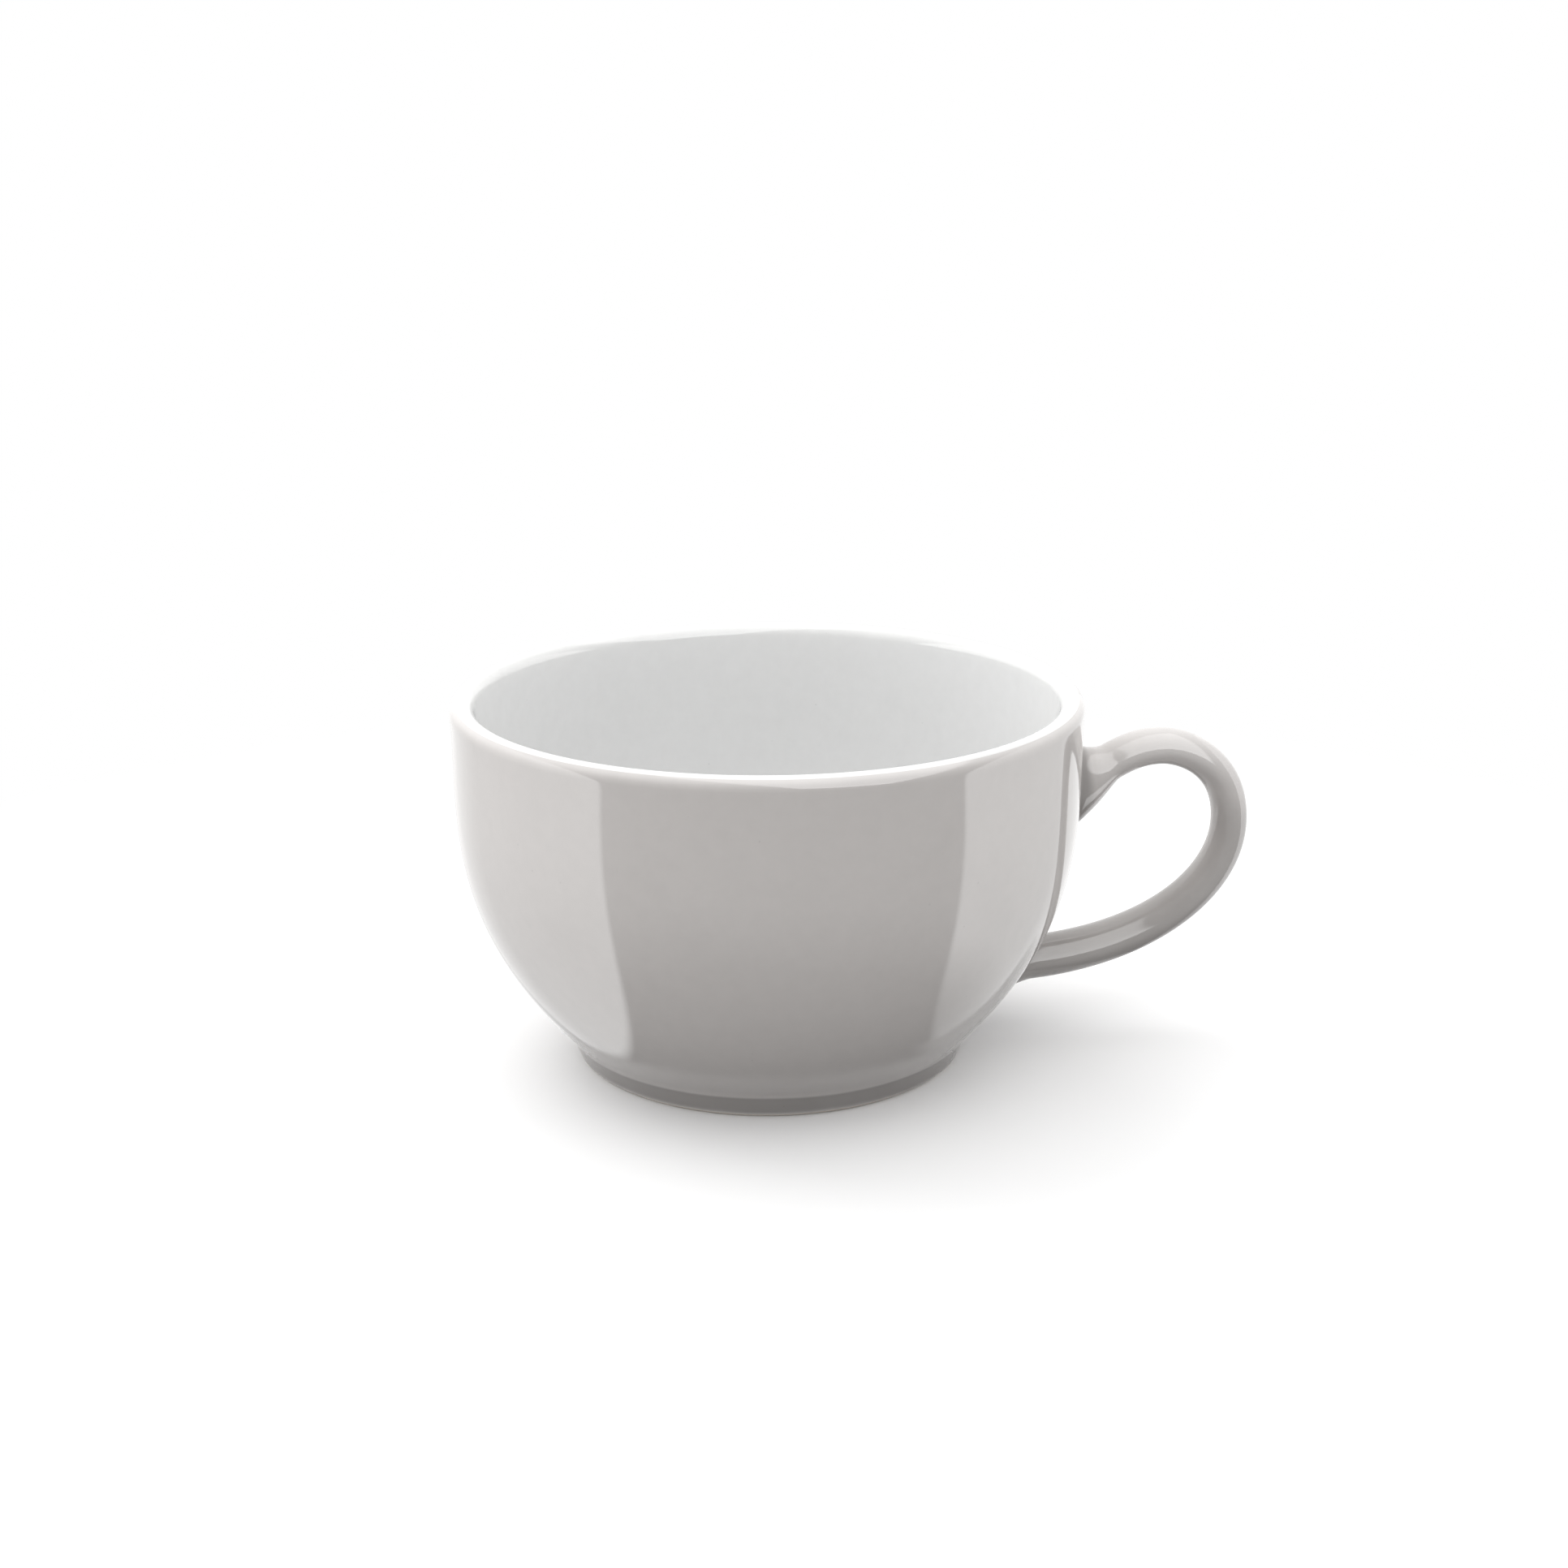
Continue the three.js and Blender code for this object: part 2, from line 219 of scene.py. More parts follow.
class Finish(PropertyGroup):
    """Colours and gloss of the glazes and the bare porcelain"""

    grey: colour("Grey glaze", "Colour of the outside and the handle", (0.522, 0.498, 0.484))
    grey_thin: colour("Thin grey", "Where the grey glaze is thin", (0.61, 0.587, 0.573))
    # The pooled grey is also the colour of painted shade on the foot's face, round the handle's roots and low
    # on the handle
    grey_pooled_and_shade: colour("Pooled grey", "Where the grey glaze has pooled", (0.3, 0.284, 0.275))
    white: colour("White glaze", "Colour of the inside", (0.71, 0.711, 0.708))
    white_thin: colour("Thin white", "Where the white glaze is thin", (0.78, 0.778, 0.768))
    white_pooled: colour("Pooled white", "Where the white glaze has pooled", (0.69, 0.692, 0.69))
    clay: colour("Porcelain", "Colour of the bare porcelain", (0.82, 0.755, 0.69))
    clay_grain: colour("Grain", "Darker grain of the bare porcelain", (0.7, 0.635, 0.57))
    gloss: amount("Gloss", "Roughness of the glaze", 0.045)
    matt: amount("Matt", "Roughness of the bare porcelain", 0.62)


class StageSettings(PropertyGroup):
    """Floor, light and camera"""

    floor_radius: length("Floor radius", "Radius of the round floor", 0.7)
    floor_pale: amount("Floor paleness", "Share of light that the floor gives back to the cup", 0.4)
    floor_seen: amount("Floor seen", "Share of light that the camera and the glaze show of the floor", 0.9)
    left_panel: amount("Left panel", "Brightness of the round panel on the left that the glaze shows", 3.6)
    right_panel: amount("Right panel", "The same on the right", 3.8)
    front_shown: amount("Front shown", "Brightness of the room before the cup that the glaze shows", 0.7)
    back_shown: amount("Back shown", "The same behind the cup", 1.1)
    window_near: amount("Window near", "Brightness that the glaze shows of the overhead window's front", 5.2)
    window_far: amount("Window far", "The same of its back", 2.4)
    tent: amount("Tent", "Light from all round", 1.45)
    tent_open: amount("Tent opening", "Light that is missing from before the cup", 0.68)
    tent_roof: amount("Tent roof", "Light that is missing from overhead", 0.2)
    key_light: amount("Key", "Brightness of the softbox behind the cup on the left", 1.3)
    camera_away: length("Camera distance", "Level distance from the bowl's axis", 0.36)
    camera_height: length("Camera height", "Height above the table", 0.15105)
    camera_side: turn("Camera side", "Way round the bowl from -Y towards -X", 8)
    camera_swing: turn("Camera swing", "Turn of the view to the right", 8.4128)
    camera_tip: turn("Camera tip", "Turn of the view downwards", 16.5929)
    camera_roll: turn("Camera roll", "Turn of the view round its own line", -0.275)
    lens: FloatProperty(name="Lens", description="Focal length", default=53.87, unit="CAMERA")


# Plane lines, in radius and height

BowlLines = namedtuple("BowlLines", "wall outside inside underside china")


def point(radius, height):
    return Vector((radius, height))


def direction(angle):
    return Vector((math.cos(angle), math.sin(angle)))


def mix(a, b, share):
    return a + (b - a) * share


def smooth(value, low, high):
    share = min(max((value - low) / (high - low), 0), 1)
    return share * share * (3 - 2 * share)


def curve(start, pull_start, pull_end, end, steps):
    return interpolate_bezier(start, pull_start, pull_end, end, steps + 1)


def corner_round(corner, way_in, way_out, reach, steps):
    """A round between two straight runs that meet at a corner."""
    start = corner - way_in * reach
    end = corner + way_out * reach
    return curve(start, start.lerp(corner, 2 / 3), end.lerp(corner, 2 / 3), end, steps)


def arc(middle, radius, start, end, steps):
    return [middle + direction(mix(start, end, i / steps)) * radius for i in range(steps + 1)]


def joined(*runs):
    """Runs that start where the one before ends, as one line."""
    line = list(runs[0])
    for run in runs[1:]:
        line += run[1:]
    return line


def ways(line):
    """The way along the line at each of its points."""
    legs = [(b - a).normalized() for a, b in zip(line, line[1:])]
    return [(a + b).normalized() for a, b in zip(legs[:1] + legs, legs + legs[-1:])]


def moved_out(line, distance):
    """The line moved square to itself, away from the porcelain on the left of its way."""
    return [place + point(way.y, -way.x) * distance for place, way in zip(line, ways(line))]


def radius_at(line, height):
    """Radius of a rising line at a height."""
    i = min(max(bisect_left([p.y for p in line], height), 1), len(line) - 1)
    low, high = line[i - 1], line[i]
    return mix(low.x, high.x, (height - low.y) / (high.y - low.y))


def bowl_lines(bowl):
    """The bowl's finished lines and the profile of the porcelain under the glaze."""
    foot_bottom = point(bowl.foot_radius, bowl.foot_edge)
    foot_corner = point(bowl.foot_radius + bowl.foot_lean, bowl.foot_height)
    face_way = (foot_corner - foot_bottom).normalized()
    wall_way = direction(bowl.rise)
    foot_round = corner_round(foot_corner, face_way, wall_way, bowl.foot_fillet, FILLET_STEPS)
    lip_middle = point(bowl.radius - bowl.lip, bowl.height - bowl.lip)
    lean_way = direction(math.pi / 2 - bowl.lean)
    wall_top = lip_middle + point(lean_way.y, -lean_way.x) * bowl.lip
    wall_foot = foot_round[-1]
    foot_pull = wall_foot + wall_way * bowl.foot_pull
    lip_pull = wall_top - lean_way * bowl.lip_pull
    wall = curve(wall_foot, foot_pull, lip_pull, wall_top, WALL_STEPS)
    outer_lip = arc(lip_middle, bowl.lip, -bowl.lean, bowl.border, LIP_STEPS)
    face = [foot_bottom.lerp(foot_round[0], i / FACE_STEPS) for i in range(FACE_STEPS + 1)]
    outside = joined(face, foot_round, wall, outer_lip)

    crown = arc(lip_middle, bowl.lip, bowl.border, math.pi - bowl.lean, 3 * LIP_STEPS)
    thicknesses = [mix(bowl.wall, 2 * bowl.lip, i / WALL_STEPS) for i in range(WALL_STEPS + 1)]
    offsets = [point(-way.y, way.x) * t for way, t in zip(ways(wall), thicknesses)]
    inner_wall = [place + offset for place, offset in zip(wall, offsets)]
    round_start = point(radius_at(inner_wall, bowl.floor_round), bowl.floor_round)
    inner_wall = [round_start] + [p for p in inner_wall if p.y > bowl.floor_round]
    inner_wall.reverse()
    floor_way = (round_start - inner_wall[-2]).normalized()
    floor_corner = round_start + floor_way * ((bowl.floor - round_start.y) / floor_way.y)
    reach = (floor_corner - round_start).length
    floor_round = corner_round(floor_corner, floor_way, point(-1, 0), reach, FLOOR_STEPS)
    floor_run = [floor_round[-1], point(0, bowl.floor)]
    inside = joined(crown, [crown[-1]] + inner_wall[1:], floor_round, floor_run)

    coat = bowl.glaze + bowl.glaze_seat
    stand_outer = bowl.foot_radius - coat - bowl.foot_edge
    stand_inner = stand_outer - bowl.stand
    recess_bottom = point(stand_inner - bowl.foot_edge - coat, bowl.foot_edge)
    recess_corner = point(recess_bottom.x - bowl.recess_lean, bowl.recess)
    recess_way = (recess_bottom - recess_corner).normalized()
    recess_round = corner_round(recess_corner, point(1, 0), recess_way, bowl.recess_fillet, FILLET_STEPS)
    recess_run = [point(0, bowl.recess), recess_round[0]]
    underside = joined(recess_run, recess_round, [recess_round[-1], recess_bottom])

    edge = bowl.foot_edge
    inner_edge = arc(point(stand_inner, edge), edge, math.pi, 1.5 * math.pi, FILLET_STEPS)
    outer_edge = arc(point(stand_outer, edge), edge, -0.5 * math.pi, 0, FILLET_STEPS)
    under, out, within = (moved_out(line, -coat) for line in (underside, outside, inside))
    china = under + inner_edge + outer_edge + out + within
    return BowlLines(wall, outside, inside, underside, china)


# Meshes


def lathe(profile, depths, closed, axis):
    """A profile turned once round the bowl's axis, with a depth of glaze for each of its points."""
    bm = bmesh.new()
    depth_layer = bm.verts.layers.float.new(DEPTH_AND_SHADE)
    verts = []
    for place, depth in zip(profile, depths):
        vert = bm.verts.new((axis + place.x, 0, place.y))
        vert[depth_layer] = depth
        verts.append(vert)
    for a, b in zip(verts, verts[1:] + verts[:1] if closed else verts[1:]):
        bm.edges.new((a, b))
    bmesh.ops.spin(
        bm,
        geom=bm.verts[:] + bm.edges[:],
        cent=(axis, 0, 0),
        axis=(0, 0, 1),
        dvec=(0, 0, 0),
        angle=2 * math.pi,
        steps=ROUND_STEPS,
        use_merge=True,
        use_duplicate=False,
    )
    bmesh.ops.remove_doubles(bm, verts=bm.verts, dist=MERGE_DISTANCE)
    return bm


def coat_of_glaze(line, depths, bowl):
    """A coat of glaze whose outer side is the line; it is open only where it meets the axis."""
    under = moved_out(line, -bowl.glaze)
    if line[-1].x == 0:
        under[-1].x = 0
        return lathe(line[::-1] + under, depths[::-1] + depths, False, bowl.axis)
    if line[0].x == 0:
        under[0].x = 0
        return lathe(line + under[::-1], depths + depths[::-1], False, bowl.axis)
    return lathe(line + under[::-1], depths + depths[::-1], True, bowl.axis)


def add_piece(name, bm, material, slot, *nodes):
    """Adds a finished piece that rides on the cup and stands for CAD nodes."""
    bmesh.ops.recalc_face_normals(bm, faces=bm.faces)
    mesh = bpy.data.meshes.new(name)
    bm.to_mesh(mesh)
    bm.free()
    mesh.shade_smooth()
    mesh.set_sharp_from_angle(angle=SHARP_ANGLE)
    mesh.materials.append(material)
    piece = bpy.data.objects.new(name, mesh)
    bpy.context.scene.collection.objects.link(piece)
    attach(piece, BODY)
    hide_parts(*nodes)


class HandleBar:
    """The handle's surface before its roots are rounded into the wall."""

    def __init__(self, bowl, handle, wall):
        self.axis = bowl.axis
        self.handle = handle
        self.wall = wall
        self.wall_ways = ways(wall)
        self.crest_height = bowl.height - handle.crest_drop
        crest = point(bowl.radius + handle.crest_out, self.crest_height - handle.crest_thick / 2)
        bow = point(bowl.radius + handle.reach - handle.bow_thick / 2, crest.y - handle.bow_drop)
        self.bow_height = bow.y
        upper_height = crest.y - handle.upper_drop
        upper = point(radius_at(wall, upper_height), upper_height)
        lower_height = bowl.foot_height + handle.lower_rise
        lower = point(radius_at(wall, lower_height), lower_height)
        upper_way = direction(handle.upper_rise)
        out, up = point(1, 0), point(0, 1)
        upper_pull = upper + upper_way * handle.upper_pull
        crest_in_pull = crest - out * handle.crest_in_pull
        crest_out_pull = crest + out * handle.crest_out_pull
        bow_up_pull = bow + up * handle.bow_up_pull
        bow_down_pull = bow - up * handle.bow_down_pull
        lower_pull = lower + out * handle.lower_pull
        runs = [
            [upper - upper_way * bowl.wall, upper],
            curve(upper, upper_pull, crest_in_pull, crest, LINE_STEPS),
            curve(crest, crest_out_pull, bow_up_pull, bow, LINE_STEPS),
            curve(bow, bow_down_pull, lower_pull, lower, LINE_STEPS),
            [lower, lower - out * bowl.wall],
        ]
        self.line = joined(*runs)
        self.lengths = [0.0]
        for a, b in zip(self.line, self.line[1:]):
            self.lengths.append(self.lengths[-1] + (b - a).length)
        ends = [sum(len(run) - 1 for run in runs[: i + 1]) for i in range(len(runs) - 1)]
        self.upper_at, self.crest_at, self.bow_at, self.lower_at = [self.lengths[end] for end in ends]
        self.line_ways = ways(self.line)

    def middle(self, along):
        """Place of the middle line and its way at a length along it."""
        i = min(max(bisect_left(self.lengths, along), 1), len(self.line) - 1)
        share = (along - self.lengths[i - 1]) / (self.lengths[i] - self.lengths[i - 1])
        place = self.line[i - 1].lerp(self.line[i], share)
        return place, self.line_ways[i - 1].lerp(self.line_ways[i], share).normalized()

    def section(self, along):
        """Half the thickness and half the width at a length along the middle line."""
        h = self.handle
        to_bow = smooth(along, self.crest_at, self.bow_at)
        to_root = smooth(along, self.bow_at, self.lower_at)
        thick = mix(mix(h.crest_thick, h.bow_thick, to_bow), h.lower_thick, to_root)
        wide = mix(mix(h.crest_wide, h.bow_wide, to_bow), h.lower_wide, to_root)
        at_upper = min(max(1 - (along - self.upper_at) / h.flare_long, 0), 1) ** h.flare_ease
        at_lower = 1 - smooth(self.lower_at - along, 0, h.lower_flare_long)
        opening = h.lower_flare * at_lower
        return thick / 2 + h.flare * at_upper + opening, wide / 2 + h.flare_wide * at_upper + opening

    def surface(self, along, around):
        """Point of the surface at a length along the bar and an angle around it."""
        place, way = self.middle(along)
        half_thick, half_wide = self.section(along)
        outwards = half_thick * math.cos(around)
        across = half_wide * math.sin(around)
        return Vector((self.axis + place.x - way.y * outwards, across, place.y + way.x * outwards))

    def wall_gap(self, place):
        """Level distance from the wall's outside, less than 0 inside it."""
        return math.hypot(place.x - self.axis, place.y) - radius_at(self.wall, place.z)

    def wall_out(self, place):
        """Way out of the wall next to a place."""
        i = min(bisect_left([p.y for p in self.wall], place.z), len(self.wall) - 1)
        way = self.wall_ways[i]
        level = Vector((place.x - self.axis, place.y, 0)).normalized()
        return Vector((level.x * way.y, level.y * way.y, -way.x)).normalized()

    def meeting(self, inside, outside, around):
        """Length along the bar at which one of its sides passes through the wall."""
        for _ in range(HALVINGS):
            along = (inside + outside) / 2
            if self.wall_gap(self.surface(along, around)) < 0:
                inside = along
            else:
                outside = along
        return outside

    def root(self, corner_at, step, around):
        """Points from the bar's side round into the wall and a little under its glaze."""
        h = self.handle
        start = self.surface(corner_at + step * h.fillet, around)
        corner = self.surface(corner_at, around)
        wall_out = self.wall_out(corner)
        nudge = math.pi / SECTION_STEPS
        beside = self.surface(corner_at, around + nudge) - self.surface(corner_at, around - nudge)
        side_out = beside.cross(start - corner).normalized()
        place, _ = self.middle(corner_at)
        if side_out.dot(corner - Vector((self.axis + place.x, 0, place.y))) < 0:
            side_out.negate()
        along_wall = (side_out - wall_out * side_out.dot(wall_out)).normalized()
        end = corner + along_wall * h.fillet
        points = curve(start, start.lerp(corner, 2 / 3), end.lerp(corner, 2 / 3), end, ROOT_RINGS)
        return points + [end + along_wall * h.sink - wall_out * h.sink]


def handle_side(bar, around):
    """Points along one side of the handle, from rim to rim, and the depth of glaze at each, which paints
    light on the crest and shade low down and round the roots.
    """
    h = bar.handle
    upper_at = bar.meeting(0, bar.crest_at, around)
    lower_at = bar.meeting(bar.lengths[-1], bar.bow_at, around)
    upper = bar.root(upper_at, 1, around)
    lower = bar.root(lower_at, -1, around)
    start, end = upper_at + h.fillet, lower_at - h.fillet
    stretch = [mix(start, end, i / HANDLE_RINGS) for i in range(1, HANDLE_RINGS)]
    places = [bar.surface(along, around) for along in stretch]
    depths = []
    for along, place in zip(stretch, places):
        # Painted light and shade: thinner, lighter grey towards the crest and deeper, darker grey low on the
        # handle
        lit_crest_shaded_low = mix(SHADED_LOW_DEPTH, LIT_CREST_DEPTH, smooth(place.z, bar.bow_height, bar.crest_height))
        # Darker pooled grey near each root: partly real pooling, spread wider as painted shade round the
        # roots
        nearest = min(along - upper_at, lower_at - along)
        depths.append(mix(POOLED_AND_SHADE, lit_crest_shaded_low, smooth(nearest, h.fillet, POOL_AND_SHADE_REACH * h.fillet)))
    # The round into the wall is deepest at the corner: real pooling with painted shade
    root = [mix(POOLED_AND_SHADE, EVEN, smooth(i, 0, ROOT_RINGS)) for i in range(len(upper))]
    return upper[::-1] + places + lower, root[::-1] + depths + root


def handle_skin(bar):
    """A ring drawn out along the handle, with both ends closed inside the wall."""
    sides = [handle_side(bar, 2 * math.pi * i / SECTION_STEPS) for i in range(SECTION_STEPS)]
    bm = bmesh.new()
    depth_layer = bm.verts.layers.float.new(DEPTH_AND_SHADE)
    side_layer = bm.verts.layers.int.new("side")
    bmesh.ops.create_circle(bm, radius=bar.handle.crest_thick, segments=SECTION_STEPS)
    for side, vert in enumerate(bm.verts):
        vert[side_layer] = side
    ring, edges = bm.verts[:], bm.edges[:]
    rim = edges
    for row in range(len(sides[0][0])):
        if row:
            grown = bmesh.ops.extrude_edge_only(bm, edges=edges)["geom"]
            ring = [part for part in grown if isinstance(part, bmesh.types.BMVert)]
            fresh = set(ring)
            grown_edges = [part for part in grown if isinstance(part, bmesh.types.BMEdge)]
            edges = [edge for edge in grown_edges if fresh.issuperset(edge.verts)]
        for vert in ring:
            points, depths = sides[vert[side_layer]]
            vert.co = points[row]
            vert[depth_layer] = depths[row]
    bmesh.ops.edgeloop_fill(bm, edges=rim)
    bmesh.ops.edgeloop_fill(bm, edges=edges)
    bm.verts.layers.int.remove(side_layer)
    return bm


# Materials


def add_node(tree, kind, inputs=None, **settings):
    """A node with its settings, and its inputs set or linked."""
    made = tree.nodes.new(kind)
    for key, value in settings.items():
        setattr(made, key, value)
    for key, value in (inputs or {}).items():
        if isinstance(value, NodeSocket):
            tree.links.new(value, made.inputs[key])
        else:
            made.inputs[key].default_value = value
    return made


def number(tree, operation, *values):
    inputs = dict(enumerate(values))
    return add_node(tree, "ShaderNodeMath", inputs, operation=operation).outputs[0]


def spread(tree, value, low, high, to_low, to_high, way="LINEAR"):
    inputs = {"Value": value, "From Min": low, "From Max": high, "To Min": to_low, "To Max": to_high}
    return add_node(tree, "ShaderNodeMapRange", inputs, interpolation_type=way).outputs["Result"]


def blend_values(tree, share, a, b):
    inputs = {MIX_SHARE: share, VALUE_A: a, VALUE_B: b}
    return add_node(tree, "ShaderNodeMix", inputs, data_type="FLOAT").outputs[VALUE_MIXED]


def blend_colours(tree, share, a, b, how="MIX"):
    inputs = {MIX_SHARE: share, COLOUR_A: a, COLOUR_B: b}
    node = add_node(tree, "ShaderNodeMix", inputs, data_type="RGBA", blend_type=how)
    return node.outputs[COLOUR_MIXED]


def plain_grey(tree, value):
    """A colour with the same value in red, green and blue."""
    return add_node(tree, "ShaderNodeCombineColor", {0: value, 1: value, 2: value}).outputs[0]


def clouds(tree, place, scale, detail, rough=0.5):
    inputs = {"Vector": place, "Scale": scale, "Detail": detail, "Roughness": rough}
    return add_node(tree, "ShaderNodeTexNoise", inputs).outputs["Fac"]


def new_group(name, inputs, outputs):
    """A group of nodes, with its given values, its results and the place on the piece."""
    tree = bpy.data.node_groups.new(name, "ShaderNodeTree")
    for label, kind in inputs:
        tree.interface.new_socket(label, in_out="INPUT", socket_type=kind)
    for label, kind in outputs:
        tree.interface.new_socket(label, in_out="OUTPUT", socket_type=kind)
    place = add_node(tree, "ShaderNodeTexCoord").outputs["Object"]
    given = add_node(tree, "NodeGroupInput").outputs
    return tree, given, add_node(tree, "NodeGroupOutput").inputs, place


def from_group(tree, name, inputs):
    """Outputs of a group of nodes for its inputs."""
    return add_node(tree, "ShaderNodeGroup", inputs, node_tree=bpy.data.node_groups[name]).outputs


def glaze_tone_group():
    """Colour of a glaze that follows its depth, with faint clouds and specks; the pooled colour also paints
    shade.
    """
    tree, given, result, place = new_group(
        "Glaze Tone",
        [
            ("Thin", "NodeSocketColor"),
            ("Even", "NodeSocketColor"),
            ("Pooled", "NodeSocketColor"),
            ("Depth", "NodeSocketFloat"),
        ],
        [("Color", "NodeSocketColor")],
    )
    drift = clouds(tree, place, DRIFT_SCALE, detail=3)
    drift = spread(tree, drift, NOISE_LOW, NOISE_HIGH, -DRIFT, DRIFT)
    depth = number(tree, "ADD", given["Depth"], drift)
    thick = spread(tree, depth, THIN, EVEN, 0, 1, "SMOOTHSTEP")
    # The pooled share also paints shade where the depth is raised for it
    pooled = spread(tree, depth, EVEN, POOLED_AND_SHADE, 0, 1, "SMOOTHSTEP")
    tone = blend_colours(tree, thick, given["Thin"], given["Even"])
    tone = blend_colours(tree, pooled, tone, given["Pooled"])
    mottle = clouds(tree, place, MOTTLE_SCALE, 4, MOTTLE_ROUGH)
    mottle = spread(tree, mottle, NOISE_LOW, NOISE_HIGH, 1 - MOTTLE, 1 + MOTTLE)
    inputs = {"Vector": place, "Scale": SPECK_SCALE, "Randomness": 1}
    cells = add_node(tree, "ShaderNodeTexVoronoi", inputs).outputs
    speck = spread(tree, cells["Distance"], SPECK_FULL, SPECK_EDGE, 1, 0, "SMOOTHSTEP")
    chosen = add_node(tree, "ShaderNodeSeparateColor", {"Color": cells["Color"]}).outputs["Red"]
    dark = spread(tree, chosen, SPECK_NONE, SPECK_CHOSEN, 0, SPECK_DARK)
    shade = number(tree, "SUBTRACT", mottle, number(tree, "MULTIPLY", speck, dark))
    shaded = blend_colours(tree, 1, tone, plain_grey(tree, shade), "MULTIPLY")
    tree.links.new(shaded, result["Color"])


def glaze_gloss_group():
    """Roughness of a glaze and the soft ripple that it set with."""
    tree, given, result, place = new_group(
        "Glaze Gloss",
        [("Roughness", "NodeSocketFloat")],
        [("Roughness", "NodeSocketFloat"), ("Height", "NodeSocketFloat")],
    )
    veil = clouds(tree, place, VEIL_SCALE, detail=4)
    veil = spread(tree, veil, NOISE_LOW, VEIL_HIGH, VEIL_LEAST, VEIL_MOST)
    tree.links.new(number(tree, "MULTIPLY", given["Roughness"], veil), result["Roughness"])
    swell = clouds(tree, place, SWELL_SCALE, detail=1)
    peel = number(tree, "MULTIPLY", clouds(tree, place, PEEL_SCALE, detail=2), PEEL_SHARE)
    tree.links.new(number(tree, "ADD", swell, peel), result["Height"])


def clay_grain_group():
    """Colour and grain of bare fired porcelain."""
    tree, given, result, place = new_group(
        "Clay Grain",
        [("Clay", "NodeSocketColor"), ("Grain", "NodeSocketColor"), ("Roughness", "NodeSocketFloat")],
        [("Color", "NodeSocketColor"), ("Roughness", "NodeSocketFloat"), ("Height", "NodeSocketFloat")],
    )
    grain = clouds(tree, place, GRAIN_SCALE, 3, GRAIN_ROUGH)
    stain = clouds(tree, place, STAIN_SCALE, detail=4)
    grained = spread(tree, grain, GRAIN_LOW, NOISE_HIGH, 0, GRAIN_SHARE)
    stained = spread(tree, stain, NOISE_LOW, NOISE_HIGH, STAIN_LEAST, 1)
    share = number(tree, "MULTIPLY", grained, stained)
    tree.links.new(blend_colours(tree, share, given["Clay"], given["Grain"]), result["Color"])
    polish = spread(tree, stain, NOISE_LOW, NOISE_HIGH, POLISH_LEAST, POLISH_MOST)
    tree.links.new(number(tree, "MULTIPLY", given["Roughness"], polish), result["Roughness"])
    tree.links.new(grain, result["Height"])


def new_material(name):
    material = bpy.data.materials.new(name)
    material.use_nodes = True
    tree = material.node_tree
    tree.nodes.clear()
    return material, tree


def rgba(value):
    return (*value, 1)


def show_surface(tree, look, relief, height, strength):
    """The material's surface: its look, and a relief of a height in metres."""
    inputs = {"Strength": strength, "Distance": height, "Height": relief}
    look["Normal"] = add_node(tree, "ShaderNodeBump", inputs).outputs["Normal"]
    shader = add_node(tree, "ShaderNodeBsdfPrincipled", look).outputs[0]
    add_node(tree, "ShaderNodeOutputMaterial", {"Surface": shader})


def glaze_material(name, thin, even, pooled, finish):
    _, tree = new_material(name)
    depth = add_node(tree, "ShaderNodeAttribute", attribute_name=DEPTH_AND_SHADE).outputs["Fac"]
    tones = {"Thin": rgba(thin), "Even": rgba(even), "Pooled": rgba(pooled), "Depth": depth}
    tone = from_group(tree, "Glaze Tone", tones)
    gloss = from_group(tree, "Glaze Gloss", {"Roughness": finish.gloss})
    look = {"Base Color": tone["Color"], "Roughness": gloss["Roughness"], "IOR": GLAZE_IOR}
    show_surface(tree, look, gloss["Height"], RIPPLE_HEIGHT, RIPPLE_STRENGTH)


def clay_material(name, finish):
    _, tree = new_material(name)
    inputs = {"Clay": rgba(finish.clay), "Grain": rgba(finish.clay_grain), "Roughness": finish.matt}
    clay = from_group(tree, "Clay Grain", inputs)
    look = {"Base Color": clay["Color"], "Roughness": clay["Roughness"]}
    show_surface(tree, look, clay["Height"], GRAIN_HEIGHT, GRAIN_STRENGTH)


# Depths of glaze along the bowl's lines


def outside_depths_and_shade(bowl, line):
    """Thin at both edges, and the pooled colour on the foot's face as painted shade."""
    depths = []
    for place in line:
        # Painted shade: the foot's face below the corner takes the dark pooled colour
        face_shade = 1 - smooth(place.y, bowl.foot_height - bowl.foot_fillet / 2, bowl.foot_height)
        thin = 1 - smooth((place - line[-1]).length, 0, THIN_REACH * bowl.lip)
        bare = 1 - smooth((place - line[0]).length, 0, bowl.foot_edge)
        depths.append(EVEN + (POOLED_AND_SHADE - EVEN) * face_shade - (EVEN - THIN) * max(thin, bare))
    return depths


def inside_depths(bowl, line):
    """Thicker on the floor, thinner over the lip."""
    low, high = bowl.floor, bowl.height - 2 * bowl.lip
    depths = []
    for place in line:
        lower = mix(FLOOR_DEPTH, EVEN, smooth(place.y, low, high / 2))
        depths.append(lower - LIP_THINNING * smooth(place.y, high, bowl.height))
    return depths


def underside_depths(bowl, line):
    """Thinner towards the foot ring's edge."""
    return [mix(RING_DEPTH, EVEN, smooth(place.y, bowl.foot_edge, bowl.recess)) for place in line]


# Light


def heading(side, rise):
    """Way out from the bowl: side is the turn from -Y towards +X, rise the turn upwards."""
    level = math.cos(rise)
    return Vector((math.sin(side) * level, -math.cos(side) * level, math.sin(rise)))


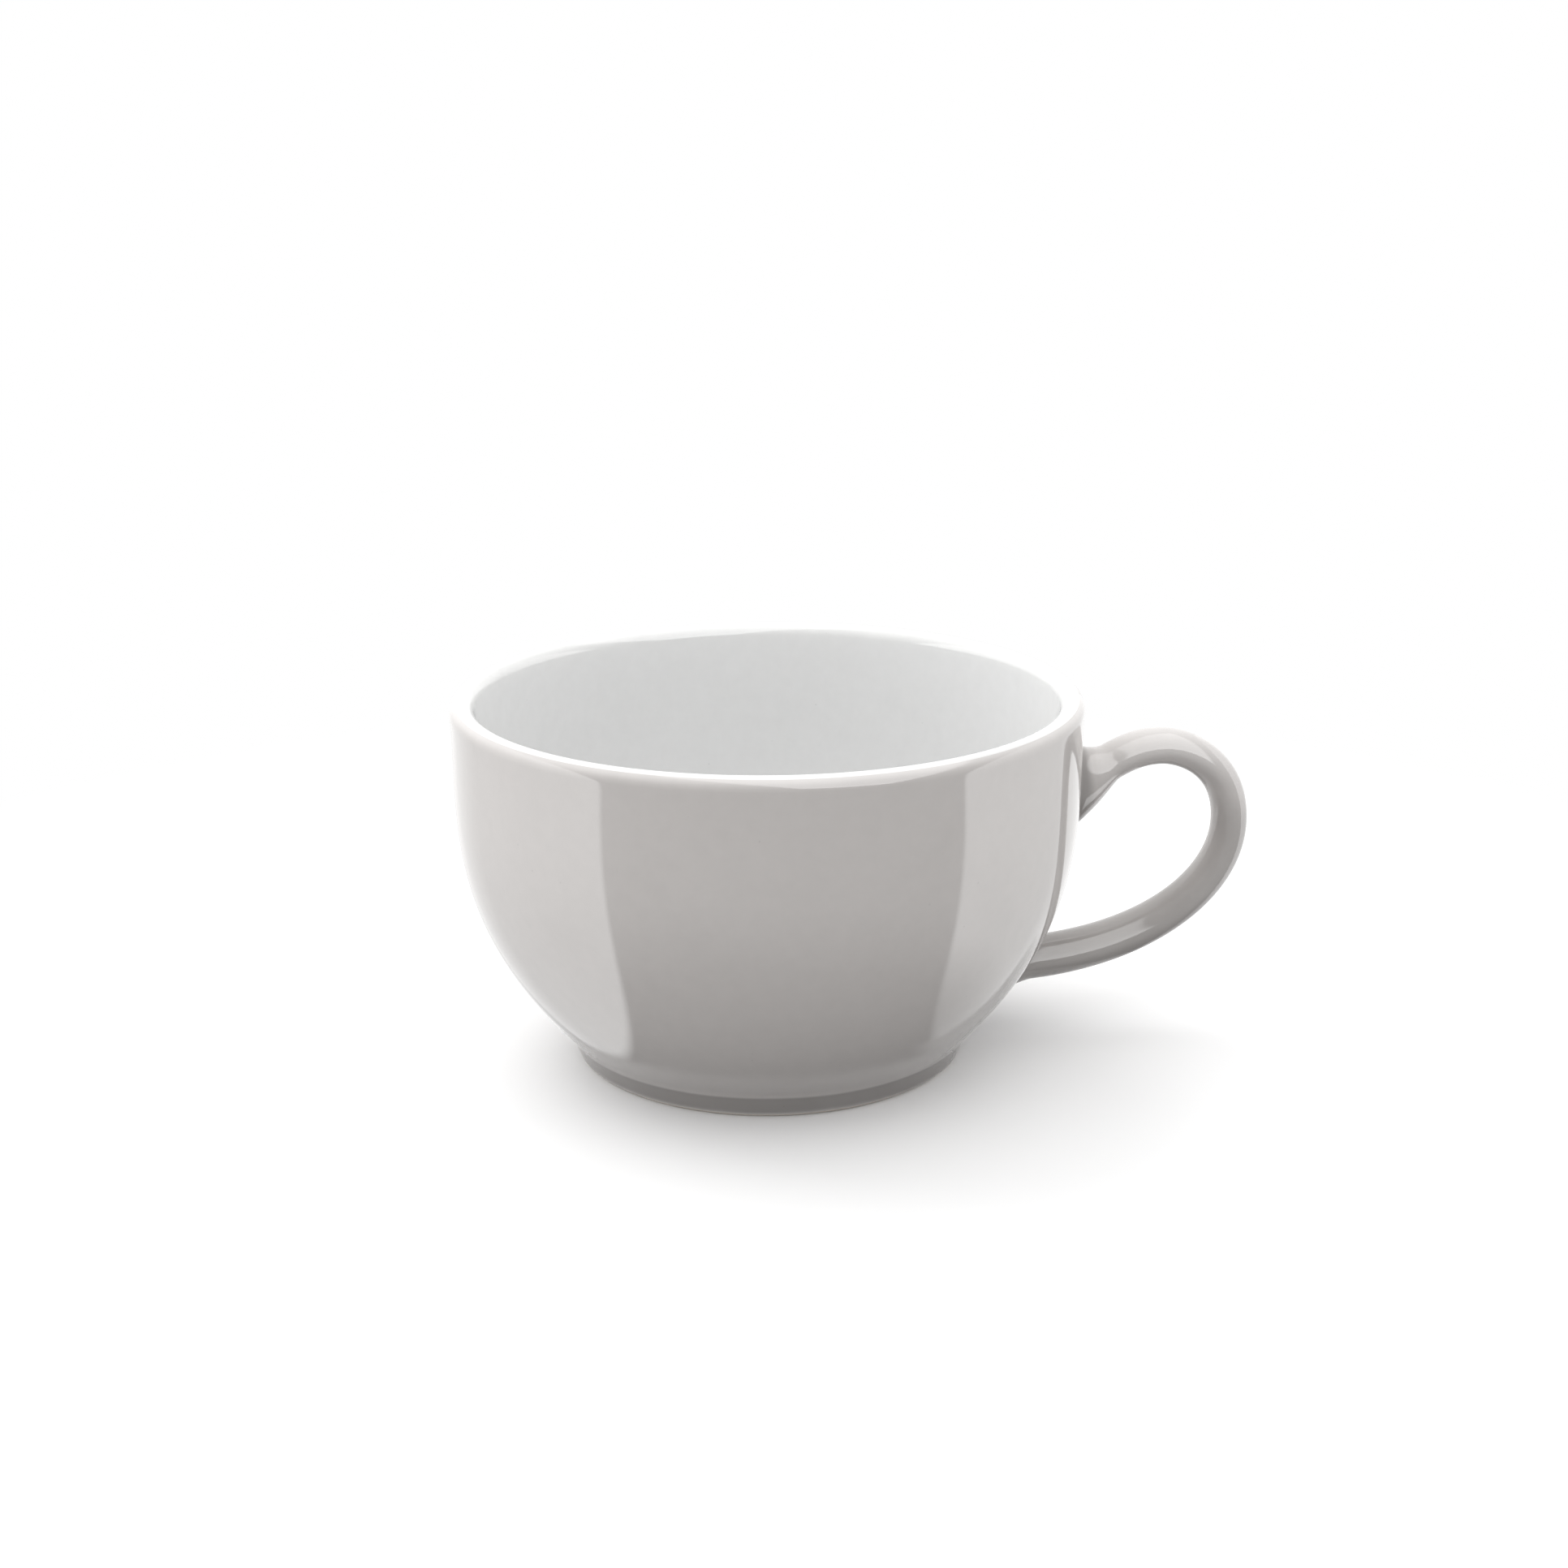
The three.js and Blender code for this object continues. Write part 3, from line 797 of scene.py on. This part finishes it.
def add_softbox(name, middle, way, distance, brightness, size):
    """A square softbox that faces the cup from a way and a distance, and doesn't show in its glaze."""
    lamp = bpy.data.lights.new(name, "AREA")
    lamp.shape = "SQUARE"
    lamp.size = size
    lamp.energy = LAMP_POWER * size * size * brightness
    softbox = bpy.data.objects.new(name, lamp)
    turned = way.to_track_quat("Z", "Y").to_matrix().to_4x4()
    softbox.matrix_world = Matrix.Translation(middle + way * distance) @ turned
    softbox.visible_camera = False
    softbox.visible_glossy = False
    bpy.context.scene.collection.objects.link(softbox)


def facing(tree, value, aim):
    """How much a way points to an aim, or how far a place lies that way; 0 is square to it."""
    node = add_node(tree, "ShaderNodeVectorMath", {0: value, 1: aim}, operation="DOT_PRODUCT")
    return node.outputs["Value"]


def panel_level(tree, way, rise, side, reach, low_share, brightness):
    """A round panel with a soft rim, whose brightness changes low down."""
    near = facing(tree, way, heading(side, PANEL_RISE))
    rim, full = math.cos(reach + PANEL_SOFT), math.cos(reach - PANEL_SOFT)
    level = spread(tree, near, rim, full, 0, brightness, "SMOOTHSTEP")
    return number(tree, "MULTIPLY", level, spread(tree, rise, PANEL_LOW, PANEL_HIGH, low_share, 1))


def window_level(tree, way, far, near):
    """A long overhead window with soft edges that is brightest at its front."""
    aim = heading(WINDOW_SIDE, WINDOW_RISE)
    across = WINDOW_LENGTHWISE.cross(aim).normalized()
    ahead = facing(tree, way, aim)
    level = spread(tree, ahead, 0, WINDOW_SOFT, 0, 1)
    spots = []
    for line, (low, high) in ((across, WINDOW_WIDE), (aim.cross(across), WINDOW_LONG)):
        spot = number(tree, "DIVIDE", facing(tree, way, line), ahead)
        off = number(tree, "ABSOLUTE", number(tree, "SUBTRACT", spot, (low + high) / 2))
        edge = (high - low) / 2
        inside = spread(tree, off, edge - WINDOW_SOFT, edge + WINDOW_SOFT, 1, 0, "SMOOTHSTEP")
        level = number(tree, "MULTIPLY", level, inside)
        spots.append(spot)
    return number(tree, "MULTIPLY", level, spread(tree, spots[1], *WINDOW_LONG, far, near))


# Operators


class CUP_OT_mix_finishes(Operator):
    """Mixes the two glazes and the bare porcelain"""

    bl_idname = "cup.mix_finishes"
    bl_label = "Mix Glazes and Porcelain"

    def execute(self, context):
        finish = context.scene.cup_finish
        glaze_tone_group()
        glaze_gloss_group()
        clay_grain_group()
        glaze_material("grey_glaze_finish", finish.grey_thin, finish.grey, finish.grey_pooled_and_shade, finish)
        glaze_material("white_glaze_finish", finish.white_thin, finish.white, finish.white_pooled, finish)
        clay_material("bare_porcelain_finish", finish)
        return {"FINISHED"}


class CUP_OT_turn_bowl(Operator):
    """Turns the porcelain bowl and gives the handle's porcelain and slip joints their finish"""

    bl_idname = "cup.turn_bowl"
    bl_label = "Turn Porcelain Bowl"

    def execute(self, context):
        bowl = context.scene.cup_bowl
        china = bowl_lines(bowl).china
        china[0].x = china[-1].x = 0
        porcelain = bpy.data.materials["bare_porcelain_finish"]
        bm = lathe(china, [EVEN] * len(china), False, bowl.axis)
        add_piece("porcelain_bowl", bm, porcelain, "porcelain", "cup_body")
        for node in ("handle", "upper_slip_joint", "lower_slip_joint"):
            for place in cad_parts[node].material_slots:
                place.material = porcelain
        return {"FINISHED"}


class CUP_OT_glaze_bowl(Operator):
    """Coats the bowl: grey outside, white inside and under the base"""

    bl_idname = "cup.glaze_bowl"
    bl_label = "Glaze Bowl"

    def execute(self, context):
        bowl = context.scene.cup_bowl
        lines = bowl_lines(bowl)
        grey = bpy.data.materials["grey_glaze_finish"]
        white = bpy.data.materials["white_glaze_finish"]
        outer = coat_of_glaze(lines.outside, outside_depths_and_shade(bowl, lines.outside), bowl)
        add_piece("grey_outer_glaze", outer, grey, "grey_glaze", "outer_glaze")
        inner = coat_of_glaze(lines.inside, inside_depths(bowl, lines.inside), bowl)
        add_piece("white_inner_glaze", inner, white, "white_glaze", "inner_glaze")
        base = coat_of_glaze(lines.underside, underside_depths(bowl, lines.underside), bowl)
        add_piece("white_base_glaze", base, white, "white_glaze", "base_glaze")
        return {"FINISHED"}


class CUP_OT_glaze_handle(Operator):
    """Draws out the glazed handle and rounds its roots into the wall"""

    bl_idname = "cup.glaze_handle"
    bl_label = "Glaze Handle"

    def execute(self, context):
        scene = context.scene
        bar = HandleBar(scene.cup_bowl, scene.cup_handle, bowl_lines(scene.cup_bowl).wall)
        grey = bpy.data.materials["grey_glaze_finish"]
        add_piece("grey_handle_glaze", handle_skin(bar), grey, "grey_glaze", "handle_glaze")
        return {"FINISHED"}


class CUP_OT_set_stage(Operator):
    """Sets the pale floor, the light and the camera"""

    bl_idname = "cup.set_stage"
    bl_label = "Set Stage"

    def execute(self, context):
        scene = context.scene
        stage = scene.cup_stage
        bowl = scene.cup_bowl
        scene.view_settings.view_transform = "Standard"
        self.lay_floor(stage, bowl)
        self.light_world(scene, stage)
        middle = Vector((bowl.axis, 0, bowl.height / 2))
        key_way = heading(KEY_SIDE, KEY_RISE)
        add_softbox("key_softbox", middle, key_way, KEY_AWAY, stage.key_light, KEY_SIZE)
        self.place_camera(scene, stage, bowl)
        return {"FINISHED"}

    def lay_floor(self, stage, bowl):
        bm = bmesh.new()
        bmesh.ops.create_circle(bm, cap_ends=True, radius=stage.floor_radius, segments=ROUND_STEPS)
        bmesh.ops.translate(bm, verts=bm.verts, vec=(bowl.axis, 0, 0))
        mesh = bpy.data.meshes.new("floor")
        bm.to_mesh(mesh)
        bm.free()
        mesh.materials.append(self.floor_material(stage, bowl))
        floor = bpy.data.objects.new("floor", mesh)
        bpy.context.scene.collection.objects.link(floor)

    def floor_material(self, stage, bowl):
        """A pale floor that turns white to the camera far away, and that the glaze shows where it is dark."""
        material, tree = new_material("pale_floor")
        path = add_node(tree, "ShaderNodeLightPath").outputs
        seen, shown = path["Is Camera Ray"], path["Is Glossy Ray"]
        place = add_node(tree, "ShaderNodeTexCoord").outputs["Object"]
        from_axis = {0: place, 1: (-bowl.axis, 0, 0)}
        centred = add_node(tree, "ShaderNodeVectorMath", from_axis).outputs["Vector"]
        away = add_node(tree, "ShaderNodeVectorMath", {0: centred}, operation="LENGTH").outputs["Value"]
        sharp = number(tree, "MAXIMUM", seen, shown)
        pale = spread(tree, sharp, 0, 1, stage.floor_pale, stage.floor_seen)
        lit = add_node(tree, "ShaderNodeBsdfDiffuse", {"Color": plain_grey(tree, pale)}).outputs[0]
        white = add_node(tree, "ShaderNodeEmission", {"Strength": 1}).outputs[0]
        far = spread(tree, away, WHITE_FROM, WHITE_TO, 0, 1, "SMOOTHSTEP")
        far = number(tree, "MULTIPLY", far, seen)
        shader = add_node(tree, "ShaderNodeMixShader", {0: far, 1: lit, 2: white}).outputs[0]
        clear = number(tree, "MULTIPLY", self.past_shadow(tree, centred, away), shown)
        through = add_node(tree, "ShaderNodeBsdfTransparent").outputs[0]
        shader = add_node(tree, "ShaderNodeMixShader", {0: clear, 1: shader, 2: through}).outputs[0]
        add_node(tree, "ShaderNodeOutputMaterial", {"Surface": shader})
        material.cycles.emission_sampling = "NONE"
        return material

    def past_shadow(self, tree, centred, away):
        """0 on the dark floor by the foot and on the right that the glaze shows, 1 past it."""
        by_foot = spread(tree, away, *DARK_BY_FOOT, 1, 0, "SMOOTHSTEP")
        on_right = spread(tree, facing(tree, centred, (1, 0, 0)), *DARK_ON_RIGHT, 0, 1)
        past_line = facing(tree, centred, heading(DARK_SIDE, 0))
        behind_line = spread(tree, past_line, *DARK_LINE, 1, 0, "SMOOTHSTEP")
        not_far = spread(tree, away, *DARK_REACH, 1, 0, "SMOOTHSTEP")
        right = number(tree, "MULTIPLY", on_right, number(tree, "MULTIPLY", behind_line, not_far))
        return number(tree, "SUBTRACT", 1, number(tree, "MAXIMUM", by_foot, right))

    def light_world(self, scene, stage):
        world = bpy.data.worlds.new("studio_tent")
        world.use_nodes = True
        tree = world.node_tree
        tree.nodes.clear()
        path = add_node(tree, "ShaderNodeLightPath").outputs
        way = add_node(tree, "ShaderNodeTexCoord").outputs["Generated"]
        rise = add_node(tree, "ShaderNodeSeparateXYZ", {0: way}).outputs["Z"]
        ahead = facing(tree, way, heading(OPEN_SIDE, OPEN_RISE))
        opening = spread(tree, ahead, OPEN_FROM, OPEN_FULL, 0, stage.tent_open, "SMOOTHSTEP")
        roof = spread(tree, rise, ROOF_FROM, ROOF_FULL, 0, stage.tent_roof, "SMOOTHSTEP")
        light = number(tree, "SUBTRACT", stage.tent, number(tree, "ADD", opening, roof))
        shown = self.shown_in_glaze(tree, stage, way, rise)
        light = blend_values(tree, path["Is Glossy Ray"], light, shown)
        light = blend_values(tree, path["Is Camera Ray"], light, 1)
        white_light = {"Color": (1, 1, 1, 1), "Strength": light}
        back = add_node(tree, "ShaderNodeBackground", white_light).outputs[0]
        add_node(tree, "ShaderNodeOutputWorld", {"Surface": back})
        scene.world = world

    def shown_in_glaze(self, tree, stage, way, rise):
        """Brightness of the studio in the glaze: two round panels and a window in a plain room."""
        front = facing(tree, way, heading(-stage.camera_side, 0))
        left = panel_level(tree, way, rise, LEFT_SIDE, LEFT_REACH, LEFT_LOW_SHARE, stage.left_panel)
        right = panel_level(tree, way, rise, RIGHT_SIDE, RIGHT_REACH, RIGHT_LOW_SHARE, stage.right_panel)
        fade = spread(tree, front, PANEL_BACK, PANEL_FRONT, PANEL_BACK_SHARE, 1)
        panels = number(tree, "MULTIPLY", number(tree, "ADD", left, right), fade)
        room = spread(tree, front, ROOM_BACK, ROOM_FRONT, stage.back_shown, stage.front_shown)
        room = number(tree, "MULTIPLY", room, spread(tree, rise, ROOM_LOW, ROOM_HIGH, ROOM_LOW_SHARE, 1))
        window = window_level(tree, way, stage.window_far, stage.window_near)
        return number(tree, "MAXIMUM", number(tree, "MAXIMUM", panels, window), room)

    def place_camera(self, scene, stage, bowl):
        camera = bpy.data.cameras.new("camera")
        camera.lens = stage.lens
        camera.sensor_width = SENSOR_WIDTH
        camera.clip_start = CLIP_START
        holder = bpy.data.objects.new("camera", camera)
        away = stage.camera_away
        side = stage.camera_side
        place = (bowl.axis - away * math.sin(side), -away * math.cos(side), stage.camera_height)
        turned = (
            Matrix.Rotation(-stage.camera_swing, 4, "Z")
            @ Matrix.Rotation(math.pi / 2 - stage.camera_tip, 4, "X")
            @ Matrix.Rotation(stage.camera_roll, 4, "Z")
        )
        holder.matrix_world = Matrix.Translation(place) @ turned
        scene.collection.objects.link(holder)
        scene.camera = holder


class CUP_PT_pieces(Panel):
    """Lists the cup's pieces and sizes"""

    bl_label = "Coffee Cup"
    bl_idname = "CUP_PT_pieces"
    bl_space_type = "VIEW_3D"
    bl_region_type = "UI"
    bl_category = "Cup"

    def draw(self, context):
        layout = self.layout
        for maker in MAKERS:
            layout.operator(maker.bl_idname)
        for name in SETTINGS:
            group = getattr(context.scene, name)
            box = layout.box()
            box.label(text=type(group).__doc__)
            for key in type(group).__annotations__:
                box.prop(group, key)


SETTINGS = {
    "cup_bowl": BowlSizes,
    "cup_handle": HandleSizes,
    "cup_finish": Finish,
    "cup_stage": StageSettings,
}
MAKERS = (
    CUP_OT_mix_finishes,
    CUP_OT_turn_bowl,
    CUP_OT_glaze_bowl,
    CUP_OT_glaze_handle,
    CUP_OT_set_stage,
)


def register():
    for kind in (*SETTINGS.values(), *MAKERS, CUP_PT_pieces):
        bpy.utils.register_class(kind)
    for name, kind in SETTINGS.items():
        setattr(bpy.types.Scene, name, PointerProperty(type=kind))


def unregister():
    for name in SETTINGS:
        delattr(bpy.types.Scene, name)
    for kind in reversed((*SETTINGS.values(), *MAKERS, CUP_PT_pieces)):
        bpy.utils.unregister_class(kind)


def main():
    register()
    bpy.ops.cup.mix_finishes()
    bpy.ops.cup.turn_bowl()
    bpy.ops.cup.glaze_bowl()
    bpy.ops.cup.glaze_handle()
    bpy.ops.cup.set_stage()


if __name__ == "__main__":
    main()
